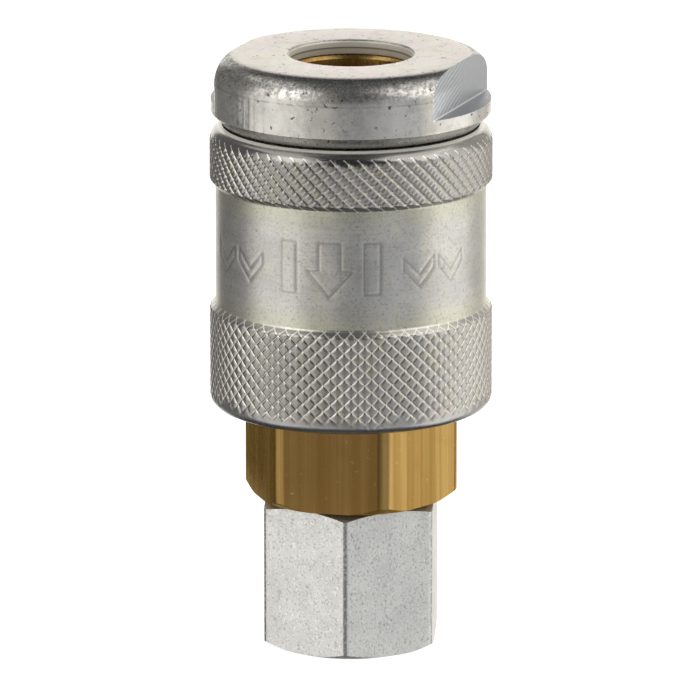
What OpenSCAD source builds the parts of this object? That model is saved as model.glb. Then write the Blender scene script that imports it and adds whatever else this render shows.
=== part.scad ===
// Quick disconnect coupler: a pull-back sleeve, ball-lock socket with a shut-off valve.
// Millimetres. +Z runs from the threaded port, at z = 0, to the mouth that takes the plug.

/* [Sleeve] */
// Diameter over the two knurled bands
sleeve_d = 28; // [27.8:0.1:29]
// Diameter of the plain band between them
sleeve_band_d = 26.8; // [26:0.1:27.2]
// Height of the sleeve's lower edge
sleeve_low_z = 24.2; // [24:0.1:24.4]
// Length of the sleeve
sleeve_len = 28.45; // [28:0.05:28.45]
// Height of the lower knurled band
knurl_low_h = 9.9; // [8:0.1:11]
// Height of the upper knurled band, shoulder and all
knurl_up_h = 5.35; // [4.5:0.05:6.5]
// How far the sleeve pulls back
sleeve_travel = 4; // [3.8:0.1:4]

/* [Nose cap] */
// Diameter of the nose cap
cap_d = 27.7; // [27:0.1:27.8]
// Diameter of its neck, which runs down inside the sleeve
neck_d = 25.14; // [24.6:0.02:25.2]
// Height of the cap's top face
cap_top_z = 59.7; // [59.5:0.1:60.5]
// Radius of the rounded top edge
cap_fillet = 2.5; // [1:0.1:2.8]
// Distance across the two wrench flats
cap_flats = 23; // [22:0.1:24]
// Height of the ledge below the flats
cap_ledge_z = 55.3; // [54.6:0.1:56.5]
// Diameter of the mouth
mouth_d = 12.2; // [12.1:0.05:12.6]

/* [Body] */
// Distance across the flats of the body's hexagon
body_af = 19; // [18.6:0.1:19.4]
// Diameter to which the hexagon's corners are turned
body_corner_d = 21.34; // [20.8:0.02:21.4]
// Diameter of the barrel above the hexagon
barrel_d = 15.8; // [15.7:0.05:15.85]
// Diameter of the bore that guides the plug
guide_d = 11.7; // [11.6:0.05:11.75]
// Diameter of the bore below it, where the balls stand out
lock_bore_d = 11.3; // [11.1:0.05:11.3]
// Diameter of the narrower bore for the plug's nose
nose_d = 8.7; // [8.6:0.05:8.9]

/* [Connector] */
// Distance across the flats of the connector's hexagon
conn_af = 16.75; // [16.6:0.05:17.6]
// Diameter to which its corners are turned
conn_corner_d = 19.14; // [18.9:0.02:19.5]
// Height of the hexagon
conn_h = 14.8; // [14.4:0.1:14.8]
// Minor diameter of the port's pipe thread
port_d = 11.445; // [11:0.005:11.6]
// Depth of the threaded port
port_depth = 12; // [10:0.5:13]

/* [Lock balls] */
// Diameter of a ball
ball_d = 3; // [2.9:0.05:3]
// Height of the ring of balls
ball_z = 44; // [43.9:0.1:44.1]

/* [Valve] */
// Diameter of the valve's flange
flange_d = 10.4; // [10:0.1:10.6]
// How far the plug pushes the valve open
valve_travel = 3.5; // [3.2:0.1:3.5]

/* [Springs] */
// Wire of the sleeve spring
sleeve_wire = 1.2; // [1:0.05:1.2]
// Coils of the sleeve spring, the closed ends included
sleeve_coils = 5; // [4:0.5:5]
// Wire of the valve spring
valve_wire = 0.8; // [0.75:0.05:0.8]
// Coils of the valve spring, the closed ends included
valve_coils = 6.5; // [6:0.5:6.5]

/* [Hidden] */
$fn = 96;
wire_sides = 8;
steps_per_turn = 24;
eps = 0.01;

// Clearances
run_gap = 0.05;
slide_gap = 0.1;

// Nose cap and body. The neck stops the sleeve where its shoulder just clears the balls when pulled back
barrel_top_z = cap_top_z - 1.45;
neck_low_z = ball_z - ball_d / 2 + sleeve_travel + run_gap;
cap_low_z = 54;
cap_slope = (cap_d - neck_d) / 2;
mouth_lead = 0.25;
guide_lead = 0.4;
guide_low_z = ball_z + 2.3;
guide_step = (guide_d - lock_bore_d) / 2;
flats_angle = -20.5;
shoulder_z = 28.5;
body_low_z = conn_h + 0.3;
chamber_d = 12;
body_hex_turn = 47.7;
body_hex_lead = 0.7;

// Connector and its spigot
spigot_d = 13.8;
spigot_top_z = 21.5;
spigot_bore_d = 9.8;
conn_hex_turn = 26.4;
conn_lead = 0.65;
conn_top_lead = 0.5;
port_lead = 0.8;
seal_ring_d = 16.4;

// Sleeve, from the inside out
land_d = barrel_d + 2 * slide_gap;
land_low_z = 41;
cone_low_z = ball_z - 0.1;
cone_top_z = neck_low_z - run_gap;
cone_top_d = land_d + 1.56;
spring_bore_d = body_corner_d + 0.36;
counterbore_d = neck_d + 0.36;
sleeve_top_z = sleeve_low_z + sleeve_len;
band_step = (sleeve_d - sleeve_band_d) / 2;
// The counterbore cuts the shoulder's arc off this far before it levels out
shoulder_cut = 0.55;
shoulder_r = (sleeve_d - counterbore_d) / 2 + shoulder_cut;
hem_r = 1.2;

// Balls, held in by the sleeve's land, each against a lip at the inner end of its hole
ball_count = 8;
ball_ring_r = land_d / 2 - run_gap - ball_d / 2;
ball_hole_d = ball_d + 0.08;
ball_lip_d = ball_d - 0.16;
ball_lip_r = ball_ring_r - sqrt(ball_d * ball_d - ball_lip_d * ball_lip_d) / 2 - run_gap;

// Washers and the perforated plate
washer_t = 0.8;
thrust_top_z = land_low_z;
thrust_inner_d = barrel_d + 0.4;
thrust_outer_d = spring_bore_d - 0.5;
rest_outer_d = body_corner_d - 0.5;
plate_t = 1;
plate_top_z = spigot_top_z + plate_t;
plate_hub_d = 4.7;
plate_hub_h = 1;
plate_holes = 6;
plate_hole_d = 2.2;
plate_hole_ring_r = 4.65;

// Valve: its spring has room for the travel above its solid length, and that sets the seat's height
valve_seal_t = 0.8;
flange_t = 1.2;
spring_spare = 0.8;
flange_low_z = plate_top_z + valve_coils * valve_wire + valve_travel + spring_spare;
seat_z = flange_low_z + flange_t + valve_seal_t;
nose_top_z = seat_z + 5;
boss_h = 1;
stem_d = 3.2;
stem_low_z = 20;
crown_d = 7.8;
crown_bore_d = 5.8;
crown_top_z = seat_z + 2.4;
crown_rim = 0.9;
window_w = 2.6;

// Seal on the plug's nose
o_ring_d = 1.7;
o_ring_groove = 1.8;
o_ring_z = seat_z + 3.5;
o_ring_r = nose_d / 2 + 0.75;

// Springs
sleeve_spring_r = (barrel_d + spring_bore_d) / 4 + 0.03;
valve_spring_r = 3;

// A rectangle in the (radius, height) plane
module band(r0, r1, z0, z1) {
    translate([r0, z0]) square([r1 - r0, z1 - z0]);
}

// The outline of a 45 degree lead-in that widens upwards from radius r
module cone_cut(r, z, lead) {
    translate([0, z])
        polygon([[0, 0], [r, 0], [r + lead, lead], [r + lead, lead + eps], [0, lead + eps]]);
}

// A flat ring
module ring(inner_d, outer_d, z0, z1) {
    rotate_extrude() band(inner_d / 2, outer_d / 2, z0, z1);
}

// A bar of hexagon stock with its corners turned down and both ends chamfered
module hex_bar(af, corner_d, end_d, z0, z1, lead, turn, top_lead) {
    end_r = end_d / 2;
    corner_r = corner_d / 2;
    intersection() {
        rotate([0, 0, turn])
            translate([0, 0, z0])
                cylinder(d = af / cos(30), h = z1 - z0, $fn = 6);
        rotate_extrude()
            polygon([
                [0, z0], [end_r, z0], [corner_r, z0 + lead],
                [corner_r, z1 - top_lead], [top_lead > 0 ? end_r : corner_r, z1], [0, z1]
            ]);
    }
}

// Height along a spring, from 0 to 1, with a closed coil at each end
function coil_rise(turns, coils, length, wire) =
    let (closed = 1.06 * wire, active = (length - wire - 2 * closed) / (coils - 2))
    turns < 1 ? closed * turns
    : turns > coils - 1 ? length - wire - closed * (coils - turns)
    : closed + active * (turns - 1);

// One helical spring of round wire, standing on z0
module coil_spring(mean_r, wire, coils, z0, length) {
    steps = ceil(coils * steps_per_turn);
    points = [
        for (i = [0 : steps], k = [0 : wire_sides - 1])
        let (
            turns = coils * i / steps,
            side = 360 * k / wire_sides,
            r = mean_r + wire / 2 * cos(side),
            z = z0 + wire / 2 + coil_rise(turns, coils, length, wire) + wire / 2 * sin(side)
        )
        [r * cos(360 * turns), r * sin(360 * turns), z]
    ];
    walls = [
        for (i = [0 : steps - 1], k = [0 : wire_sides - 1])
        let (a = i * wire_sides, next = (k + 1) % wire_sides)
        [a + k, a + next, a + wire_sides + next, a + wire_sides + k]
    ];
    first_end = [for (k = [wire_sides - 1 : -1 : 0]) k];
    last_end = [for (k = [0 : wire_sides - 1]) steps * wire_sides + k];
    polyhedron(points, concat(walls, [first_end, last_end]));
}

module nose_cap() {
    color([0.74, 0.73, 0.7])
    difference() {
        rotate_extrude()
            difference() {
                union() {
                    band(0, neck_d / 2, neck_low_z, cap_low_z);
                    polygon([
                        [0, cap_low_z - cap_slope], [neck_d / 2, cap_low_z - cap_slope],
                        [cap_d / 2, cap_low_z], [0, cap_low_z]
                    ]);
                    band(0, cap_d / 2, cap_low_z, cap_top_z - cap_fillet);
                    band(0, cap_d / 2 - cap_fillet, cap_low_z, cap_top_z);
                    translate([cap_d / 2 - cap_fillet, cap_top_z - cap_fillet]) circle(r = cap_fillet);
                }
                band(-eps, barrel_d / 2 + run_gap, neck_low_z - eps, barrel_top_z);
                band(-eps, mouth_d / 2, barrel_top_z - eps, cap_top_z + eps);
                cone_cut(mouth_d / 2, cap_top_z - mouth_lead, mouth_lead);
            }
        for (side = [0, 180])
            rotate([0, 0, flats_angle + side])
                translate([cap_flats / 2, -cap_d, cap_ledge_z])
                    cube([cap_d, 2 * cap_d, cap_top_z]);
    }
}

module valve_body() {
    color([0.62, 0.47, 0.24])
    difference() {
        union() {
            hex_bar(body_af, body_corner_d, body_af + 0.4, body_low_z, shoulder_z,
                    body_hex_lead, body_hex_turn, 0);
            translate([0, 0, body_low_z]) cylinder(d = barrel_d, h = barrel_top_z - body_low_z);
        }
        rotate_extrude() {
            band(0, spigot_d / 2 + run_gap, body_low_z - eps, plate_top_z);
            band(0, chamber_d / 2, plate_top_z - eps, seat_z);
            band(0, nose_d / 2, seat_z - eps, nose_top_z);
            band(0, lock_bore_d / 2, nose_top_z - eps, guide_low_z);
            cone_cut(lock_bore_d / 2, guide_low_z - guide_step, guide_step);
            band(0, guide_d / 2, guide_low_z - eps, barrel_top_z + eps);
            cone_cut(guide_d / 2, barrel_top_z - guide_lead, guide_lead);
            band(0, o_ring_r + o_ring_groove / 2, o_ring_z - o_ring_groove / 2, o_ring_z + o_ring_groove / 2);
        }
        for (i = [0 : ball_count - 1])
            rotate([0, 0, i * 360 / ball_count])
                translate([0, 0, ball_z])
                    rotate([0, 90, 0]) {
                        cylinder(d = ball_lip_d, h = barrel_d);
                        translate([0, 0, ball_lip_r]) cylinder(d = ball_hole_d, h = barrel_d);
                    }
    }
}

module connector() {
    color([0.72, 0.72, 0.71])
    difference() {
        union() {
            hex_bar(conn_af, conn_corner_d, conn_af, 0, conn_h, conn_lead, conn_hex_turn, conn_top_lead);
            translate([0, 0, conn_h - 1]) cylinder(d = spigot_d, h = spigot_top_z - conn_h + 1);
        }
        rotate_extrude() {
            band(0, port_d / 2, -eps, port_depth);
            band(0, spigot_bore_d / 2, port_depth - eps, spigot_top_z + eps);
            mirror([0, 1]) cone_cut(port_d / 2, -port_lead, port_lead);
        }
    }
}

module connector_seal() {
    color([0.1, 0.1, 0.1]) ring(spigot_d + 0.2, seal_ring_d, conn_h, body_low_z);
}

module plug_seal() {
    color([0.08, 0.08, 0.08])
        rotate_extrude()
            translate([o_ring_r, o_ring_z]) circle(d = o_ring_d, $fn = 48);
}

module valve() {
    color([0.8, 0.68, 0.4])
    difference() {
        rotate_extrude() {
            band(0, flange_d / 2, flange_low_z, seat_z - valve_seal_t);
            band(0, crown_d / 2, seat_z - valve_seal_t - eps, crown_top_z);
            band(0, plate_hub_d / 2, flange_low_z - boss_h, flange_low_z + eps);
            band(0, stem_d / 2, stem_low_z, flange_low_z);
        }
        translate([0, 0, seat_z - valve_seal_t]) cylinder(d = crown_bore_d, h = crown_top_z);
        for (turn = [0, 90])
            rotate([0, 0, turn])
                translate([-crown_d, -window_w / 2, seat_z - eps])
                    cube([2 * crown_d, window_w, crown_top_z - crown_rim - seat_z]);
    }
}

module valve_seal() {
    color([0.12, 0.12, 0.12]) ring(crown_d + 0.1, flange_d, seat_z - valve_seal_t, seat_z);
}

module valve_spring() {
    color([0.8, 0.8, 0.82])
        coil_spring(valve_spring_r, valve_wire, valve_coils, plate_top_z, flange_low_z - plate_top_z);
}

module valve_spring_plate() {
    color([0.66, 0.66, 0.68])
    difference() {
        union() {
            translate([0, 0, spigot_top_z]) cylinder(d = spigot_d, h = plate_t);
            translate([0, 0, spigot_top_z]) cylinder(d = plate_hub_d, h = plate_t + plate_hub_h);
        }
        translate([0, 0, spigot_top_z - eps])
            cylinder(d = stem_d + 2 * slide_gap, h = plate_t + plate_hub_h + 2 * eps);
        for (i = [0 : plate_holes - 1])
            rotate([0, 0, i * 360 / plate_holes])
                translate([plate_hole_ring_r, 0, spigot_top_z - eps])
                    cylinder(d = plate_hole_d, h = plate_t + 2 * eps);
    }
}

module sleeve() {
    outer_r = sleeve_d / 2;
    band_r = sleeve_band_d / 2;
    knurl_low_top_z = sleeve_low_z + knurl_low_h;
    knurl_up_low_z = sleeve_top_z - knurl_up_h;
    shoulder_low_z = sleeve_top_z - sqrt(shoulder_r ^ 2 - shoulder_cut ^ 2);
    color([0.7, 0.69, 0.66])
    rotate_extrude()
        difference() {
            union() {
                band(0, outer_r, sleeve_low_z + hem_r, knurl_low_top_z);
                band(0, outer_r - hem_r, sleeve_low_z, knurl_low_top_z);
                translate([outer_r - hem_r, sleeve_low_z + hem_r]) circle(r = hem_r);
                polygon([
                    [0, knurl_low_top_z - eps], [outer_r, knurl_low_top_z],
                    [band_r, knurl_low_top_z + band_step], [band_r, knurl_up_low_z - band_step],
                    [outer_r, knurl_up_low_z], [0, knurl_up_low_z + eps]
                ]);
                band(0, outer_r, knurl_up_low_z, shoulder_low_z);
                translate([outer_r - shoulder_r, shoulder_low_z]) circle(r = shoulder_r);
            }
            band(-eps, spring_bore_d / 2, sleeve_low_z - eps, land_low_z);
            band(-eps, land_d / 2, land_low_z - eps, sleeve_top_z);
            polygon([
                [0, cone_low_z], [land_d / 2, cone_low_z], [cone_top_d / 2, cone_top_z], [0, cone_top_z]
            ]);
            band(-eps, counterbore_d / 2, cone_top_z, sleeve_top_z + shoulder_r);
        }
}

module sleeve_spring() {
    color([0.78, 0.78, 0.8])
        coil_spring(sleeve_spring_r, sleeve_wire, sleeve_coils, shoulder_z + washer_t,
                    thrust_top_z - washer_t - shoulder_z - washer_t);
}

module sleeve_thrust_washer() {
    color([0.6, 0.6, 0.62]) ring(thrust_inner_d, thrust_outer_d, thrust_top_z - washer_t, thrust_top_z);
}

module sleeve_spring_washer() {
    color([0.6, 0.6, 0.62]) ring(thrust_inner_d, rest_outer_d, shoulder_z, shoulder_z + washer_t);
}

module lock_ball(i) {
    color([0.85, 0.85, 0.87])
        rotate([0, 0, (i - 1) * 360 / ball_count])
            translate([ball_ring_r, 0, ball_z]) sphere(d = ball_d, $fn = 48);
}

nose_cap();
valve_body();
connector();
connector_seal();
plug_seal();
valve();
valve_seal();
valve_spring();
valve_spring_plate();
sleeve();
sleeve_spring();
sleeve_thrust_washer();
sleeve_spring_washer();
lock_ball(1);  // lock_ball_1
lock_ball(2);  // lock_ball_2
lock_ball(3);  // lock_ball_3
lock_ball(4);  // lock_ball_4
lock_ball(5);  // lock_ball_5
lock_ball(6);  // lock_ball_6
lock_ball(7);  // lock_ball_7
lock_ball(8);  // lock_ball_8
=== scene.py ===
"""Looks of the quick disconnect coupler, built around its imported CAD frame.

Meshes are made in millimetres from the CAD nodes' own boxes and turned into metres at the end.
Angles: azimuth 0 faces the camera (-Y) and grows to the right, towards +X.
"""
import math

import bmesh
import bpy
import numpy as np
from mathutils import Matrix, Vector


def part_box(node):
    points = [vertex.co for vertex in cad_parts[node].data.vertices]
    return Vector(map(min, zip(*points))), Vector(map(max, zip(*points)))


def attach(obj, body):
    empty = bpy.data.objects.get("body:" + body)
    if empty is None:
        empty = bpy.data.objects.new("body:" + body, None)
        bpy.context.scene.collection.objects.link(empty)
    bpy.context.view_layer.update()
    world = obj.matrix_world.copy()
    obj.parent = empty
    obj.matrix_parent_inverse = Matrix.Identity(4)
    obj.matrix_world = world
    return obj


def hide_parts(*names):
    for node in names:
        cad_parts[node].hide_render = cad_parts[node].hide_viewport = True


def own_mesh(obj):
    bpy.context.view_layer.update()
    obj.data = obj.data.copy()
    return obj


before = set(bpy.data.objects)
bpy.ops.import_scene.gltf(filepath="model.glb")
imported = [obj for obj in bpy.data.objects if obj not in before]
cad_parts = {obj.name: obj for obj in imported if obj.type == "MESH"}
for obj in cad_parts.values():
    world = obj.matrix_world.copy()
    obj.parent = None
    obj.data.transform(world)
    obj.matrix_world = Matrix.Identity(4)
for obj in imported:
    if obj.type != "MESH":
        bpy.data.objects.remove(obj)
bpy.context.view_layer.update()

MM = 0.001
TAU = 2 * math.pi
FRONT = -math.pi / 2


# ---------------- places, read from the frame
def span(node):
    """A node's lowest and highest z, in millimetres."""
    return [corner.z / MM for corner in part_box(node)]


def outer_r(node):
    """Largest radius of a node about the coupler's axis, in millimetres."""
    return max(math.hypot(v.co.x, v.co.y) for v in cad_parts[node].data.vertices) / MM


TOP = span("nose_cap")[1]
SLEEVE_LOW, SLEEVE_TOP = span("sleeve")
SLEEVE_R = outer_r("sleeve")
CAP_R = outer_r("nose_cap")
BODY_LOW, BODY_TOP = span("valve_body")
BODY_CORNER_R = outer_r("valve_body")
CONN_TOP = span("connector_seal")[0]
CONN_CORNER_R = outer_r("connector")
SPIGOT_TOP = span("valve_spring_plate")[0]
SEAT_Z = span("valve_seal")[1]
BALL_Z = sum(span("lock_ball_1")) / 2

# Sizes inside the pieces' boxes, in millimetres
CAP_FILLET = 2.5
CAP_UNDER_Z = TOP - 5.7
FLATS_ANGLE = math.radians(-20.5)
FLATS_R = 11.5
LEDGE_Z = TOP - 4.4
MOUTH_R, BORE_R, LOCK_R, BARREL_R = 6.1, 5.85, 5.65, 7.9
BALL_R, BALL_COUNT = 1.5, 8
WASHER_BORE_R = 8.1
PLAIN_R, COUNTERBORE_R = 13.4, 12.75

# The sleeve's knurls: grooves around it, and mesh steps from one groove to the next
STARTS, STEPS = 64, 8
CELL_Z = 1.31 / STEPS
GROOVE_DEPTH, FINE_DEPTH, MARK_DEPTH = 0.13, 1.6, 0.05


def spoke(radius, angle, z):
    """The point at this radius and angle about the coupler's axis."""
    return radius * math.cos(angle), radius * math.sin(angle), z


def heading(azimuth_deg):
    """The level direction towards an azimuth."""
    azimuth = math.radians(azimuth_deg)
    return math.sin(azimuth), -math.cos(azimuth), 0


# ---------------- camera, lights and stage
def add_object(name, data):
    thing = bpy.data.objects.new(name, data)
    bpy.context.scene.collection.objects.link(thing)
    return thing


def look_back(thing, middle, way, distance):
    """Stands a camera or lamp this far from a point, turned to look back at it."""
    thing.location = middle + way * distance
    thing.rotation_mode = "QUATERNION"
    thing.rotation_quaternion = (-way).to_track_quat("-Z", "Y")


def add_camera():
    """A long lens a little above the coupler, as it stands upright and fills most of the frame."""
    elevation, distance = math.radians(14.1), 0.9
    data = bpy.data.cameras.new("camera")
    data.lens, data.sensor_width = 466, 36
    camera = add_object("camera", data)
    way = Vector((0, -math.cos(elevation), math.sin(elevation)))
    look_back(camera, Vector((-0.0001, 0, 0.0295)), way, distance)
    bpy.context.scene.camera = camera


def softbox(name, azimuths, elevations, radiance, tint, distance=0.7):
    """A rectangular lamp that fills these ranges of angles, seen from the coupler's middle."""
    azimuth = math.radians(sum(azimuths) / 2)
    elevation = math.radians(sum(elevations) / 2)
    half_w = distance * math.tan(math.radians(azimuths[1] - azimuths[0]) / 2)
    half_h = distance * math.tan(math.radians(elevations[1] - elevations[0]) / 2)
    data = bpy.data.lights.new(name, "AREA")
    data.shape, data.size, data.size_y = "RECTANGLE", 2 * half_w, 2 * half_h
    data.energy = radiance * math.pi * data.size * data.size_y
    data.color = tint
    lamp = add_object(name, data)
    way = Vector((math.sin(azimuth) * math.cos(elevation),
                  -math.cos(azimuth) * math.cos(elevation), math.sin(elevation)))
    look_back(lamp, Vector((0, 0, TOP * MM / 2)), way, distance)
    lamp.visible_camera = False


def add_lights():
    warm, cool, cream = (1, 0.985, 0.94), (0.965, 0.98, 1), (1, 0.965, 0.89)
    softbox("left_box", (-92, -40), (-54, 46), 1.0, warm)
    softbox("left_back", (-154, -94), (-40, 44), 0.15, warm)
    softbox("left_mid", (-40, -30), (-54, 12), 0.36, cream)
    softbox("left_near", (-30, -14), (-54, 12), 0.58, cream)
    softbox("front_fill", (-14, 16), (-54, 8), 0.26, cool)
    softbox("right_near", (16, 30), (-54, 24), 0.42, cool)
    softbox("right_mid", (30, 46), (-54, 24), 0.52, cool)
    softbox("right_fill", (46, 62), (-54, 42), 0.36, (0.92, 0.95, 1))
    softbox("right_wide", (62, 78), (-54, 42), 0.95, cream)
    softbox("right_box", (78, 116), (-54, 46), 1.25, warm)
    softbox("right_back", (116, 152), (-40, 40), 0.6, cream)
    softbox("back_box", (154, 206), (-34, 28), 1.35, cream)
    softbox("left_top", (-118, -58), (46, 66), 1.1, warm)
    softbox("right_top", (50, 112), (46, 69), 1.2, warm)
    softbox("left_high", (-68, -29), (14, 46), 1.1, warm, 0.65)
    softbox("right_high", (44, 80), (18, 48), 1.05, warm, 0.65)
    softbox("overhead", (-26, 26), (62, 118), 0.07, cool)
    world = bpy.data.worlds.new("studio")
    world.use_nodes = True
    nodes, link = world.node_tree.nodes, world.node_tree.links.new
    nodes.clear()
    mix = nodes.new("ShaderNodeMixShader")
    for i, color in ((1, (0.045, 0.047, 0.05, 1)), (2, (1, 1, 1, 1))):
        background = nodes.new("ShaderNodeBackground")
        background.inputs["Color"].default_value = color
        link(background.outputs[0], mix.inputs[i])
    link(nodes.new("ShaderNodeLightPath").outputs["Is Camera Ray"], mix.inputs["Fac"])
    link(mix.outputs[0], nodes.new("ShaderNodeOutputWorld").inputs["Surface"])
    bpy.context.scene.world = world
    bpy.context.scene.view_settings.view_transform = "Standard"


def add_floor():
    """A pale floor that stays out of the metal's reflections."""
    half = 1.2
    corners = [(-half, -half, 0), (half, -half, 0), (half, half, 0), (-half, half, 0)]
    mesh = bpy.data.meshes.new("floor")
    mesh.from_pydata(corners, [], [(0, 1, 2, 3)])
    floor = add_object("floor", mesh)
    white = Look("floor_white", (0.9, 0.9, 0.9), 0.0, 0.9, Specular_IOR_Level=0.0,
                 Emission_Color=(1, 1, 1, 1), Emission_Strength=0.72)
    mesh.materials.append(white.material)
    floor.visible_glossy = False
    floor.visible_diffuse = False
    floor.visible_shadow = False


# ---------------- mesh helpers
def rounded(points, radius, steps=4):
    """A closed outline in (r, z) with its corners rounded, by one radius or by one for each."""
    count = len(points)
    radii = radius if isinstance(radius, (list, tuple)) else [radius] * count
    out = []
    for i, here in enumerate(points):
        here = np.array(here, float)
        before, after = np.array(points[i - 1], float), np.array(points[(i + 1) % count], float)
        if radii[i] <= 0 or here[0] == 0:
            out.append(tuple(here))
            continue
        a, b = before - here, after - here
        la, lb = np.linalg.norm(a), np.linalg.norm(b)
        a, b = a / la, b / lb
        half = math.acos(np.clip(a @ b, -1, 1)) / 2
        cut = min(radii[i] / math.tan(half), 0.45 * la, 0.45 * lb)
        r = cut * math.tan(half)
        middle = here + (a + b) / np.linalg.norm(a + b) * (r / math.sin(half))
        start, end = here + a * cut - middle, here + b * cut - middle
        sweep = math.atan2(start[0] * end[1] - start[1] * end[0], start @ end)
        for k in range(steps + 1):
            t = sweep * k / steps
            out.append(tuple(middle + (start[0] * math.cos(t) - start[1] * math.sin(t),
                                       start[0] * math.sin(t) + start[1] * math.cos(t))))
    return out


def spaced(points, step):
    """The outline with points added so that no stretch is longer than step."""
    out = []
    for i, here in enumerate(points):
        after = points[(i + 1) % len(points)]
        parts = max(1, math.ceil(math.dist(here, after) / step - 1e-6))
        out += [tuple(np.array(here) + (np.array(after) - here) * k / parts) for k in range(parts)]
    return out


def add_mesh(name, vertices_mm, faces, smooth_deg=40):
    """A new object from points in millimetres, smooth except over sharp edges."""
    mesh = bpy.data.meshes.new(name)
    points = [tuple(v) for v in np.asarray(vertices_mm) * MM]
    mesh.from_pydata(points, [], [tuple(f) for f in faces])
    mesh.validate()
    thing = add_object(name, mesh)
    bm = bmesh.new()
    bm.from_mesh(mesh)
    bmesh.ops.recalc_face_normals(bm, faces=bm.faces)
    if bm.calc_volume(signed=True) < 0:
        bmesh.ops.reverse_faces(bm, faces=bm.faces)
    bm.to_mesh(mesh)
    bm.free()
    soften(thing, smooth_deg)
    return thing


def soften(thing, smooth_deg=40):
    """Shades smooth, with edges sharper than this angle kept crisp."""
    mesh = thing.data
    mesh.shade_smooth()
    bm = bmesh.new()
    bm.from_mesh(mesh)
    limit = math.radians(smooth_deg)
    for edge in bm.edges:
        edge.smooth = len(edge.link_faces) == 2 and edge.calc_face_angle(0) < limit
    bm.to_mesh(mesh)
    bm.free()


def spread(values, columns):
    """A table with a row for each value, repeated in this many columns."""
    return np.repeat(np.array(values, float)[:, None], columns, 1)


def lathe(name, outline, columns, shape=None, smooth_deg=40):
    """A closed outline in (r, z) turned about the axis. shape(r, z) may move the points.

    columns is their number, or an array of their angles.
    """
    angles = np.arange(columns) * TAU / columns if isinstance(columns, int) else columns
    rows, columns = len(outline), len(angles)
    r, z = (spread([point[i] for point in outline], columns) for i in (0, 1))
    if shape:
        r, z = shape(r, z)
    points = np.stack([r * np.cos(angles), r * np.sin(angles), z], -1).reshape(-1, 3)
    on_axis = [abs(p[0]) < 1e-9 for p in outline]
    faces = []
    for i in range(rows):
        j = (i + 1) % rows
        if on_axis[i] and on_axis[j]:
            continue
        for k in range(columns):
            n = (k + 1) % columns
            a, b, c, d = i * columns + k, i * columns + n, j * columns + n, j * columns + k
            if on_axis[i]:
                faces.append((i * columns, c, d))
            elif on_axis[j]:
                faces.append((a, b, j * columns))
            else:
                faces.append((a, b, c, d))
    used = sorted({v for f in faces for v in f})
    index = {v: n for n, v in enumerate(used)}
    return add_mesh(name, points[used], [[index[v] for v in f] for f in faces], smooth_deg)


def modify(thing, kind, **settings):
    """Adds a modifier with these settings and applies it."""
    step = thing.modifiers.new("step", kind)
    for name, value in settings.items():
        setattr(step, name, value)
    with bpy.context.temp_override(object=thing, active_object=thing):
        bpy.ops.object.modifier_apply(modifier=step.name)
    soften(thing)


def cut(thing, cutters):
    """Takes the cutters away from the thing and removes them."""
    for cutter in cutters:
        modify(thing, "BOOLEAN", operation="DIFFERENCE", solver="EXACT", object=cutter)
        bpy.data.objects.remove(cutter)


def soft_edges(thing, width_mm):
    """A narrow bevel on sharp edges, which catches the light."""
    modify(thing, "BEVEL", width=width_mm * MM, segments=2, limit_method="ANGLE",
           angle_limit=math.radians(35))


def place(thing, node, body, material):
    """Stands the piece in for a CAD node, on its body, with its material."""
    thing.data.materials.clear()
    thing.data.materials.append(material)
    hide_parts(node)
    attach(thing, body)
    return thing


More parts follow.
